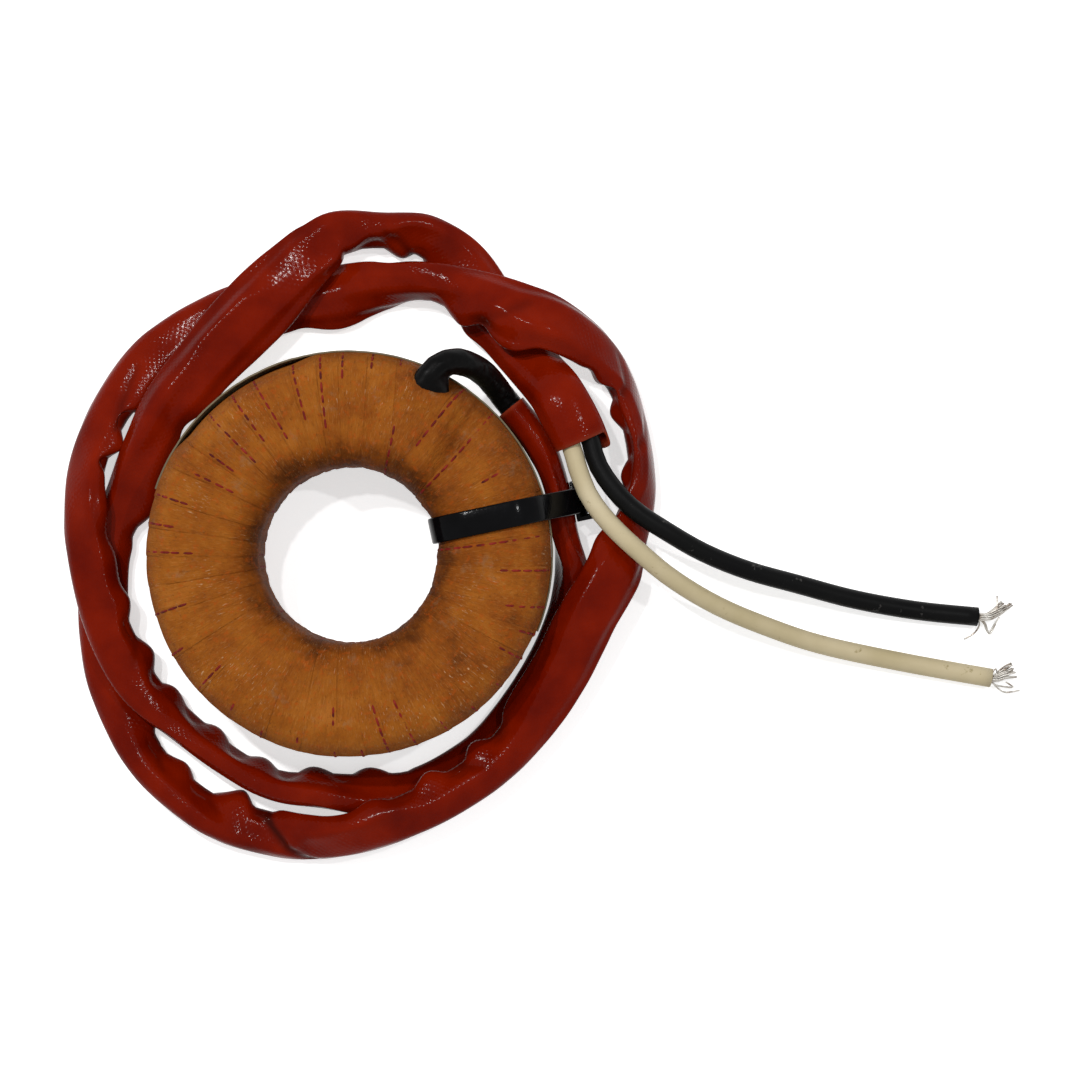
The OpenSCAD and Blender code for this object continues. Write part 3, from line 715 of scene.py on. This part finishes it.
def tapePoint(i, u, s, lift=0.0):
    # a point on lap i, u from its covered side 0 to its edge 1, and its distance along the ring
    r, z, n = tapeProfile(s)
    angle = lapEdge(i - 1, r) + (lapEdge(i, r) - lapEdge(i - 1, r)) * u
    a = radians(angle)
    arc = a * tapeLook["middle"]
    onFloor = smoothStep(0.0, 1.6, z)
    # each lap is a soft pillow that rises to its rolled edge
    low = 0.6 * smoothStep(0.2, -0.5, sin(a))
    pillow = u - 1 + 0.5 * sin(pi * u) - 0.9 * smoothStep(0.93, 1.0, u)
    high = tapeLook["step"] * (1 - low) * pillow
    puckered = 1 + 1.4 * (1 - smoothStep(15, 22, r))
    wrinkle = 0.5 - abs(wander(arc / 1.5, s / 11, (i % len(laps)) * 3.7))
    high += wrinkle * tapeLook["wrinkle"] * puckered
    middle = tapeLook["middle"]
    high += wander(middle * cos(a) / 7, middle * sin(a) / 7, s / 8) * tapeLook["slackness"]
    high = min(high, tapeLook["highest"]) * onFloor
    x, y = r * cos(a), r * sin(a)
    # drawn in under the cable tie
    t = radians(tie["turn"])
    across = -x * sin(t) + y * cos(t) - tie["offset"]
    if x * cos(t) + y * sin(t) > 0:
        pinch = 1 - smoothStep(1.9, 4.2, abs(across))
        high = high * (1 - pinch) - tapeLook["tieDent"] * pinch
    # flat under the label band, and shrunk away from it for a short way
    turn = (degrees(a) + 180) % 360 - 180
    if tapeLook["outer"] - r < 1.2 and 4.5 < z < 16 and -24 < turn < 163:
        high = tapeLook["highest"]
    high -= tapeLook["shrunk"] * smoothStep(98, 108, turn) * (1 - smoothStep(142, 150, turn)) \
        * smoothStep(9, 13, z) * smoothStep(28.5, 30.2, r)
    high += lift
    p = Vector(((r + n[0] * high) * cos(a), (r + n[0] * high) * sin(a), z + n[1] * high))
    # the tape stands over the two joints and the sleeve that leaves them
    dx, dy = x - joint["low"][0], y - joint["low"][1]
    along = dx * joint["way"][0] + dy * joint["way"][1]
    off = abs(dx * joint["way"][1] - dy * joint["way"][0])
    top = smoothStep(13.5, 18.5, z)
    swell = (1 - smoothStep(3.7, 7.8, off)) * smoothStep(-4.5, 1.5, along)
    front = joint["length"] - 1.1 + 0.14 * off * off
    swell *= 1 - smoothStep(front - 0.2, front + 1.5, along)
    folds = sin(off * 3.4 + 2 * wander(x / 3, y / 3, 0))
    gather = tapeLook["gather"] * folds * smoothStep(2.5, 5, off)
    gather *= (1 - smoothStep(7, 11, off)) * smoothStep(4, 9, along)
    lip = joint["lip"] * smoothStep(8, 12.8, along)
    p.z += (swell * (joint["rise"] + lip) + gather) * top
    return p, arc


def tapeMaterial():
    # cotton tape soaked in amber varnish: fibrous and matt, pale where fibres stand up, browner
    # down in the hole from painted shade and dirt, with painted shade in the furrows between laps, in pits,
    # along lap edges and on the right, and with grey dust and rust-coloured specks
    material, shader = newMaterial("varnishedCottonTape", Roughness=0.7, IOR=1.48, Specular_IOR_Level=0.08)
    place = addNode(material, "TexCoord")
    edge = addNode(material, "Attribute", {"attribute_name": "edge"})
    tone = addNode(material, "Attribute", {"attribute_name": "tone"})
    broad = addNode(material, "TexNoise", Vector=(place, "Object"), Scale=170, Detail=6, Roughness=0.66)
    # the tone attribute adds each lap's own tone, painted shade with some dirt in the hole, and painted
    # shade on the right
    shifted = addNode(material, "Math:ADD", _0=broad, _1=(tone, "Fac"))
    colour = addNode(material, "ValToRGB", {"stops": [
        (0.16, "#562a09"), (0.36, "#83440f"), (0.56, "#965516"), (0.8, "#a86526")]}, Fac=shifted)

    def patches(grain, low, high):
        return addNode(material, "ValToRGB", {"stops": [(low, 0.0), (high, 1.0)]}, Fac=grain)

    def streaks(turn, scale, low, high):
        laid = addNode(material, "Mapping", Vector=(place, "UV"), Rotation=(0, 0, turn), Scale=scale)
        grain = addNode(material, "TexNoise", Vector=laid, Scale=1.0, Detail=4, Roughness=0.62,
                        Distortion=0.5)
        return grain, patches(grain, low, high)

    # fibres 0.12 mm thick and 1 to 2 mm long, along the tape and a little askew
    fibreA, maskA = streaks(0.12, (5.5, 0.7, 1), 0.55, 0.68)
    fibreB, maskB = streaks(-0.5, (4.6, 0.8, 1), 0.6, 0.7)
    # furrow and pits only darken the colour: painted shade of soft furrows and small pits
    furrow = streaks(0.0, (2.4, 0.22, 1), 0.52, 0.66)[1]
    pits = streaks(0.0, (2.6, 1.7, 1), 0.58, 0.68)[1]
    speck = addNode(material, "TexNoise", Vector=(place, "Object"), Scale=900, Detail=4, Roughness=0.7)
    dust = addNode(material, "TexNoise", Vector=(place, "Object"), Scale=260, Detail=7, Roughness=0.72)
    patch = addNode(material, "TexNoise", Vector=(place, "Object"), Scale=95, Detail=3)
    fuzzy = addNode(material, "ValToRGB", {"stops": [(0.5, 0.1), (0.62, 1.0)]}, Fac=patch)
    fuzz = addNode(material, "Math:MULTIPLY", _0=maskB, _1=fuzzy)
    # painted shade along lap edges and darker towards the bottom, with soiling on the rim, all broken up by
    # dust
    grimeAndShade = addNode(material, "Math:MULTIPLY", _0=(edge, "Fac"), _1=dust)
    skin = colour
    for mask, strength, tint in (
            (furrow, 0.26, "#5e310d"), (pits, 0.45, "#5c300e"),
            (patches(speck, 0.55, 0.64), 0.5, "#a3480d"),
            (patches(dust, 0.58, 0.7), 0.26, "#857860"), (maskA, 0.2, "#c08a4c"),
            (fuzz, 0.5, "#dcbb92"), (grimeAndShade, 1.0, "#3c210e")):
        amount = addNode(material, "Math:MULTIPLY", _0=mask, _1=strength)
        skin = (addNode(material, "Mix:RGBA", _0=amount, _6=skin, _7=toLinear(tint)), 2)
    height = addNode(material, "Math:ADD", _0=fibreA, _1=fibreB)
    high = addNode(material, "Math:ADD", _0=height, _1=speck)
    bump = addNode(material, "Bump", Strength=0.75, Distance=0.00022, Height=high)
    gloss = addNode(material, "MapRange", Value=broad, To_Min=0.55, To_Max=0.8)
    feed(material, shader, Base_Color=skin, Roughness=gloss, Normal=bump)
    return material


def makeTape():
    chance = random.Random(12)
    sides = tapeLook["sides"]
    plain = tapeLook["columns"] - 5
    steps = [0.0, 0.03, 0.07] + [0.07 + 0.86 * k / plain for k in range(1, plain)] + [0.93, 0.97, 1.0]
    points, edges, toneAndShade, spots = [], [], [], []
    for i in range(len(laps)):
        tone = chance.uniform(-0.04, 0.04)
        for u in steps:
            for k in range(sides):
                s = tapeRound * k / sides
                p, arc = tapePoint(i, u, s)
                points.append(p)
                spots.append((arc, s))
                # how dark: painted shade at a lap's edge and in the furrow beside it, soiling on the rim,
                # and darker towards the bottom
                near = max(1 - (1 - u) / 0.1, 0.7 - u / 0.12, 0)
                z = p.z / tapeLook["height"]
                r = hypot(p.x, p.y)
                rimDirt = smoothStep(28.8, 30.8, r) * 0.45
                below = 0.3 * (1 - smoothStep(0.0, 0.2, z))
                edges.append(min(1.0, near * (0.1 + 0.08 * (p.y > 0)) + rimDirt + below))
                # how dark: browner in the hole, from painted shade and dirt, and painted shade darker on
                # the right
                deep = 1 - smoothStep(13.9, 20.0, r)
                rightShade = smoothStep(-0.2, 0.9, cos(arc / tapeLook["middle"] - 0.1))
                toneAndShade.append(tone - 0.22 * deep - 0.08 * rightShade)
    columns = len(laps) * len(steps)
    faces, uvs = [], []
    for c in range(columns):
        d = (c + 1) % columns
        for k in range(sides):
            m = (k + 1) % sides
            faces.append((c * sides + k, d * sides + k, d * sides + m, c * sides + m))
            (a0, s0), (a1, s1) = spots[c * sides + k], spots[d * sides + m]
            a1 += 2 * pi * tapeLook["middle"] if d == 0 else 0
            s1 += tapeRound if m == 0 else 0
            uvs.append([(a0, s0), (a1, s0), (a1, s1), (a0, s1)])
    shades = {"edge": edges, "tone": toneAndShade}
    return turnOutwards(makeMesh("cottonTape", points, faces, tapeMaterial(), uvs, shades))


keep(makeTape(), "cotton_tape", "outer_tape")
print("tape done")


# tracer threads: one red float after another, just proud of the weave, its ends dipping under
tracerLook = {"float": 1.65, "gap": 0.18, "width": 0.34, "proud": 0.08, "ends": 0.55, "sunk": 0.04,
              "depth": 0.08, "down": 9.0, "past": 6}


def makeTracers():
    chance = random.Random(5)
    points, faces = [], []
    wide, bend = tapeLook["wide"], tapeLook["bend"]
    for i, row in enumerate(laps):
        s = -bend - tracerLook["down"]
        while s < wide + bend + tracerLook["past"]:
            r, z, n = tapeProfile(s)
            shows = s < -bend * 0.55 or row[3] - 0.2 <= r <= row[2] + 0.2
            if shows or (s > wide + bend and i % 3 == 0):
                length = tracerLook["float"] * chance.uniform(0.8, 1.1)
                base = len(points)
                for step in range(5):
                    q = s + length * step / 4
                    rr = tapeProfile(q)[0]
                    span = lapEdge(i, rr) - lapEdge(i - 1, rr)
                    u = 1 - tapeLook["edgeTurn"] / max(span, 2.0)
                    atEnd = step in (0, 4)
                    half = tracerLook["width"] / 2 * (tracerLook["ends"] if atEnd else 1)
                    tilt = degrees(half / max(rr, 8)) / max(span, 2.0)
                    low = -tracerLook["sunk"] if atEnd else tracerLook["proud"] * 0.35
                    top = 0.0 if atEnd else tracerLook["proud"]
                    under = low - tracerLook["depth"]
                    for du, up in ((-tilt, under), (-tilt, low), (0, top), (tilt, low), (tilt, under)):
                        points.append(tapePoint(i, u + du, q, up)[0])
                faces.extend(tubeFaces(5, 5, base))
            s += tracerLook["float"] + tracerLook["gap"] * chance.uniform(0.7, 1.4)
    # dyed cotton thread: dull dark red, uneven along its length
    material = mottled("dyedTracerThread", [(0.35, "#470b07"), (0.55, "#75150c"), (0.7, "#8c2a1c")],
                       {"Scale": 700, "Detail": 4}, bump=(0.3, 0.0001, None),
                       Roughness=0.7, IOR=1.5, Specular_IOR_Level=0.2)[0]
    return turnOutwards(makeMesh("tracerThreads", points, faces, material))


keep(makeTracers(), "cotton_tape")
print("tracers done")


# the black sleeve that brings the leads out from under the tape
exitLook = {"sides": 40, "spacing": 0.28, "drawnIn": 0.07, "wrinkle": 0.16, "hoop": 0.05, "clear": 1.86}


def makeExitSleeve():
    rows = evenRows(exitRoute, exitLook["spacing"])
    points, seek = [], [0, 0]
    for row, (at, ahead, level, lift) in zip(rows, framesAlong(rows, 2)):
        side, up = rolled(level, lift, row[3])
        crossing = leadsAt(at, ahead, seek)
        seek = [j for j, p in crossing]
        inside = [((p - at).dot(side), (p - at).dot(up)) for j, p in crossing]
        # drawn in where it comes out from under the tape
        fit = 1 - exitLook["drawnIn"] + exitLook["drawnIn"] * smoothStep(7.0, 12.5, row[6])
        for k in range(exitLook["sides"]):
            t = 2 * pi * k / exitLook["sides"]
            c, s = cos(t), sin(t)
            x = rounded(row[4] / 2 * fit, c, 0.85)
            y = rounded(row[5] / 2 * fit, s, 0.95)
            ripple = 1 - abs(wander(row[6] / 1.5, c * 0.9, s * 0.9))
            crease = (ripple - 0.75) * exitLook["wrinkle"] * 2
            crease *= 1 + 1.2 * (1 - smoothStep(5.5, 9.5, row[6]))
            hoop = exitLook["hoop"] * wander(row[6] / 1.1, c, s)
            grow = 1 + (min(crease, 0.2) + hoop) / 3
            x, y = outsideLeads(*outsideLeads(x * grow, y * grow), inside, exitLook["clear"])
            points.append(at + side * x + up * y)
    # heat-shrunk polyolefin: black, glossy, drawn into fine hoops and creases
    material = mottled("polyolefinSleeve", [(0.4, "#060606"), (0.64, "#0c0b0b"), (0.8, "#1f1d1c")],
                       {"Scale": 600, "Detail": 6, "Roughness": 0.7}, rough=(0.16, 0.5),
                       bump=(0.25, 0.0002, None), Roughness=0.24, IOR=1.51, Specular_IOR_Level=0.05)[0]
    return makeMesh("exitSleeve", points, tubeFaces(len(rows), exitLook["sides"]), material)


keep(makeExitSleeve(), "exit_tube", "exit_sleeve")
print("exit sleeve done")


# the steps of making by hand, in edit mode

def setMode(mode):
    bpy.ops.object.mode_set(mode=mode)


def nothingPicked():
    if bpy.context.object and bpy.context.object.mode == "EDIT":
        setMode("OBJECT")
    bpy.ops.object.select_all(action="DESELECT")


def pickFaces(piece, test):
    setMode("OBJECT")
    for group in (piece.data.vertices, piece.data.edges, piece.data.polygons):
        for part in group:
            part.select = False
    for face in piece.data.polygons:
        face.select = bool(test(face.center / mm, face.normal))
    setMode("EDIT")
    bpy.ops.mesh.select_mode(type="FACE")


def settle(piece):
    setMode("OBJECT")
    bpy.ops.object.transform_apply(location=True, rotation=True, scale=True)


def modify(piece, name, kind, **settings):
    added = piece.modifiers.new(name, kind)
    for key, value in settings.items():
        setattr(added, key, value)
    bpy.ops.object.modifier_apply(modifier=name)


# the label band: a bare strip of coated paper round the rim, gone wavy with age
bandLook = {"radius": 31.27, "low": 5.0, "height": 10.4, "thick": 0.25, "from": -22.0, "to": 161.0,
            "wave": 0.05, "flare": 0.03}


def makeBand():
    nothingPicked()
    bpy.ops.mesh.primitive_cylinder_add(
        vertices=360, radius=bandLook["radius"] * mm, depth=bandLook["height"] * mm,
        end_fill_type="NOTHING", location=(0, 0, (bandLook["low"] + bandLook["height"] / 2) * mm))
    piece = bpy.context.object
    piece.name = "labelBand"
    settle(piece)

    def beyond(centre, normal):
        turn = degrees(atan2(centre.y, centre.x))
        return not bandLook["from"] < turn < bandLook["to"]

    pickFaces(piece, beyond)
    bpy.ops.mesh.delete(type="FACE")
    bpy.ops.mesh.select_all(action="SELECT")
    bpy.ops.mesh.subdivide(number_cuts=6, quadcorner="INNERVERT")
    setMode("OBJECT")
    for v in piece.data.vertices:
        p = v.co / mm
        turn = atan2(p.y, p.x)
        out = abs(wander(turn * 3.4, p.z / 16, 2.2)) * bandLook["wave"] * 1.5
        out += abs(wander(turn * 11, p.z / 5, 7.7)) * bandLook["wave"] * 0.4
        edge = abs(p.z - bandLook["low"] - bandLook["height"] / 2) / (bandLook["height"] / 2)
        out += bandLook["flare"] * smoothStep(0.85, 1.0, edge) * (0.5 + wander(turn * 20, 0, 0))
        r = bandLook["radius"] + out
        v.co.x, v.co.y = r * cos(turn) * mm, r * sin(turn) * mm
    modify(piece, "paper", "SOLIDIFY", thickness=bandLook["thick"] * mm, offset=1)
    bpy.ops.object.shade_smooth_by_angle(angle=radians(40))
    # coated paper label: matt cream, foxed and rubbed, and darker along its top edge
    material, shader, place, colour = mottled(
        "agedLabelPaper", [(0.3, "#857650"), (0.5, "#9d8f6b"), (0.7, "#b0a37e")],
        {"Scale": 210, "Detail": 6, "Roughness": 0.7}, bump=(0.2, 0.0001, 2600), Roughness=0.62, IOR=1.5)
    height = addNode(material, "SeparateXYZ", Vector=(place, "Object"))
    darkTopEdge = addNode(material, "MapRange", Value=(height, "Z"), From_Min=0.01505, From_Max=0.01538)
    paper = addNode(material, "Mix:RGBA", _0=darkTopEdge, _6=colour, _7=toLinear("#5f5236"))
    feed(material, shader, Base_Color=(paper, 2))
    piece.data.materials.append(material)
    keep(piece, "band_paper", "rating_band")


makeBand()
print("band done")


# the cable tie: a nylon strap through the ring, drawn tight, with its head on the outer side
tieLook = {"width": 4.0, "thick": 1.1, "bevel": 0.28,
           "loop": [(19.2, 6.15, 5.05), (33.75, 3.05, 1.95), (33.75, 8.75, 1.95), (25.8, 15.6, 5.05),
                    (19.2, 15.6, 5.05)],
           "middle": (26.5, 0, 10), "head": (37.25, 5.4, 3.1, 6.4, 5.6), "headBevel": 0.32,
           "mouth": (0.75, 2.0), "step": (0.9, 0.35)}


def tieOutline():
    # the strap's inner line: arcs of circles x, z, radius joined by straight runs
    loop = tieLook["loop"]
    line = []

    def leaves(p, q):
        return degrees(atan2(q[1] - p[1], q[0] - p[0])) - 90 \
            + degrees(asin((p[2] - q[2]) / hypot(q[0] - p[0], q[1] - p[1])))

    for i, p in enumerate(loop):
        a = leaves(loop[i - 1], p)
        turn = (leaves(p, loop[(i + 1) % len(loop)]) - a + 720) % 360
        for k in range(13):
            b = radians(a + turn * k / 12)
            line.append((p[0] + p[2] * cos(b), p[1] + p[2] * sin(b)))
    return line


def makeTie():
    line = tieOutline()
    turned = Matrix.Rotation(radians(tie["turn"]), 4, "Z")
    nothingPicked()
    bpy.ops.mesh.primitive_circle_add(vertices=len(line), radius=10 * mm, fill_type="NOTHING",
                                      location=(0, 0, 0))
    strap = bpy.context.object
    strap.name = "tieStrap"
    half = tieLook["width"] / 2
    for v, (x, z) in zip(strap.data.vertices, line):
        v.co = (x * mm, (tie["offset"] - half) * mm, z * mm)
    setMode("EDIT")
    bpy.ops.mesh.select_mode(type="EDGE")
    bpy.ops.mesh.select_all(action="SELECT")
    bpy.ops.mesh.extrude_region_move(TRANSFORM_OT_translate={"value": (0, tieLook["width"] * mm, 0)})
    setMode("OBJECT")
    turnOutwards(strap, middle=Vector([c * mm for c in tieLook["middle"]]))
    strap.data.transform(turned)
    modify(strap, "strap", "SOLIDIFY", thickness=tieLook["thick"] * mm, offset=1)
    modify(strap, "edges", "BEVEL", width=tieLook["bevel"] * mm, segments=3, limit_method="ANGLE",
           angle_limit=radians(50))
    bpy.ops.object.shade_smooth_by_angle(angle=radians(35))
    x, z, thick, wide, tall = tieLook["head"]
    nothingPicked()
    bpy.ops.mesh.primitive_cube_add(size=mm, location=(x * mm, tie["offset"] * mm, z * mm),
                                    scale=(thick, wide, tall))
    head = bpy.context.object
    head.name = "tieHead"
    settle(head)
    # the mouth that the tail runs through: inset on the top and sunk
    border, depth = tieLook["mouth"]
    pickFaces(head, lambda centre, normal: normal.z > 0.9)
    bpy.ops.mesh.inset(thickness=border * mm)
    bpy.ops.mesh.extrude_region_move(TRANSFORM_OT_translate={"value": (0, 0, -depth * mm)})
    # a shallow step on the outer side, as the mould leaves
    border, depth = tieLook["step"]
    pickFaces(head, lambda centre, normal: normal.x > 0.9 and centre.x > x + thick / 2 - 0.1)
    bpy.ops.mesh.inset(thickness=border * mm)
    bpy.ops.mesh.extrude_region_move(TRANSFORM_OT_translate={"value": (-depth * mm, 0, 0)})
    setMode("OBJECT")
    modify(head, "edges", "BEVEL", width=tieLook["headBevel"] * mm, segments=3, limit_method="ANGLE",
           angle_limit=radians(40))
    head.data.transform(turned)
    bpy.ops.object.shade_smooth_by_angle(angle=radians(35))
    # moulded nylon 6.6, carbon black: glossy, with faint flow marks and a few rubbed spots
    nylon = mottled("mouldedNylonBlack", [(0.38, "#050506"), (0.6, "#08080a"), (0.8, "#141416")],
                    {"Scale": 260, "Detail": 6, "Roughness": 0.65}, rough=(0.07, 0.18),
                    bump=(0.14, 0.0001, 2200), Roughness=0.2, IOR=1.53, Specular_IOR_Level=0.05)[0]
    for piece in (strap, head):
        piece.data.materials.append(nylon)
        keep(piece, "tie_nylon")
    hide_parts("cable_tie")


makeTie()
print("tie done")


# the parts inside, seen where the tape is opened: their own finishes on the CAD nodes

# node: the real material, its dark and light colour, how much is light, size of the clouds, roughness
innerFinishes = {
    "steel_core": ("rolledSiliconSteel", "#6f7174", "#8d9093", 0.6, 120, 0.38),
    "lower_core_ring": ("pressboard", "#a4835a", "#c2a477", 0.65, 300, 0.78),
    "upper_core_ring": ("pressboardUpper", "#a4835a", "#c2a477", 0.65, 300, 0.78),
    "core_wrap": ("crepedPaper", "#c4b07f", "#ddcfa9", 0.65, 240, 0.74),
    "secondary_winding": ("enamelledCopperWire", "#7d3a14", "#b4622a", 0.65, 420, 0.3),
    "winding_film": ("polyesterFilm", "#b9ae86", "#d6cfb2", 0.65, 180, 0.24),
    "start_joint": ("shrinkTubeStart", "#161618", "#2b2b2e", 0.7, 500, 0.34),
    "finish_joint": ("shrinkTubeFinish", "#161618", "#2b2b2e", 0.7, 500, 0.34)}
for node, (name, dark, light, stop, clouds, rough) in innerFinishes.items():
    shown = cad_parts[node]
    shown.data.materials.clear()
    shown.data.materials.append(mottled(
        name, [(0.35, dark), (stop, light)], {"Scale": clouds, "Detail": 5}, (rough - 0.1, rough + 0.12),
        (0.4, 0.0001, 900) if node == "secondary_winding" else (0.15, 0.0001, 1800),
        Roughness=rough, Metallic=1.0 if node == "steel_core" else 0.0)[0])
print("inner parts finished")


# plain pale floor and soft studio light

def backgroundRays(owner):
    # 1 for the eye's rays and those off a glossy face or through a clear one, 0 for the object's light
    rays = addNode(owner, "LightPath")
    shiny = addNode(owner, "Math:MAXIMUM", _0=(rays, "Is Camera Ray"), _1=(rays, "Is Glossy Ray"))
    return addNode(owner, "Math:MAXIMUM", _0=shiny, _1=(rays, "Is Transmission Ray"))


# each lamp: place, size, watts
studioLook = {"floorSize": 3000, "floorDrop": 0.3, "world": 0.46, "lift": 0.58, "lamps": {
    "leftLamp": ((-0.2, 0.24, 0.62), 0.026, 1.6), "rightLamp": ((0.26, 0.14, 0.62), 0.015, 0.65),
    "topLamp": ((-0.1, 0.17, 0.64), 0.02, 0.9)}, "aim": (0, 0, 0.01)}
nothingPicked()
bpy.ops.mesh.primitive_plane_add(size=studioLook["floorSize"] * mm,
                                 location=(30 * mm, 0, -studioLook["floorDrop"] * mm))
floor = bpy.context.object
floor.name = "floor"
bpy.ops.object.transform_apply(location=True, rotation=True, scale=True)
# white card: white to the eye, and still grey where the object shades it
card, shader, place, colour = mottled("whiteCard", [(0.3, "#f1f1f1"), (0.7, "#f7f7f7")],
                                      {"Scale": 9, "Detail": 3}, colour="#f4f4f4", Roughness=0.9)
glow = addNode(card, "Math:MULTIPLY", _0=backgroundRays(card), _1=studioLook["lift"])
feed(card, shader, Emission_Color=toLinear("#ffffff"), Emission_Strength=glow)
floor.data.materials.append(card)

world = bpy.data.worlds.new("studio")
world.use_nodes = True
bpy.context.scene.world = world
sky = world.node_tree.nodes["Background"]
level = addNode(world, "MapRange", Value=backgroundRays(world),
                To_Min=studioLook["world"], To_Max=1.0)
feed(world, sky, Color=toLinear("#ffffff"), Strength=level)

for name, (place, size, watts) in studioLook["lamps"].items():
    lampData = bpy.data.lights.new(name, "AREA")
    lampData.shape = "DISK"
    lampData.size = size
    lampData.energy = watts
    lamp = addObject(name, lampData)
    lamp.location = place
    aim = Vector(studioLook["aim"]) - Vector(place)
    lamp.rotation_euler = aim.to_track_quat("-Z", "Y").to_euler()
print("studio done")

bpy.context.scene.view_settings.view_transform = "Standard"
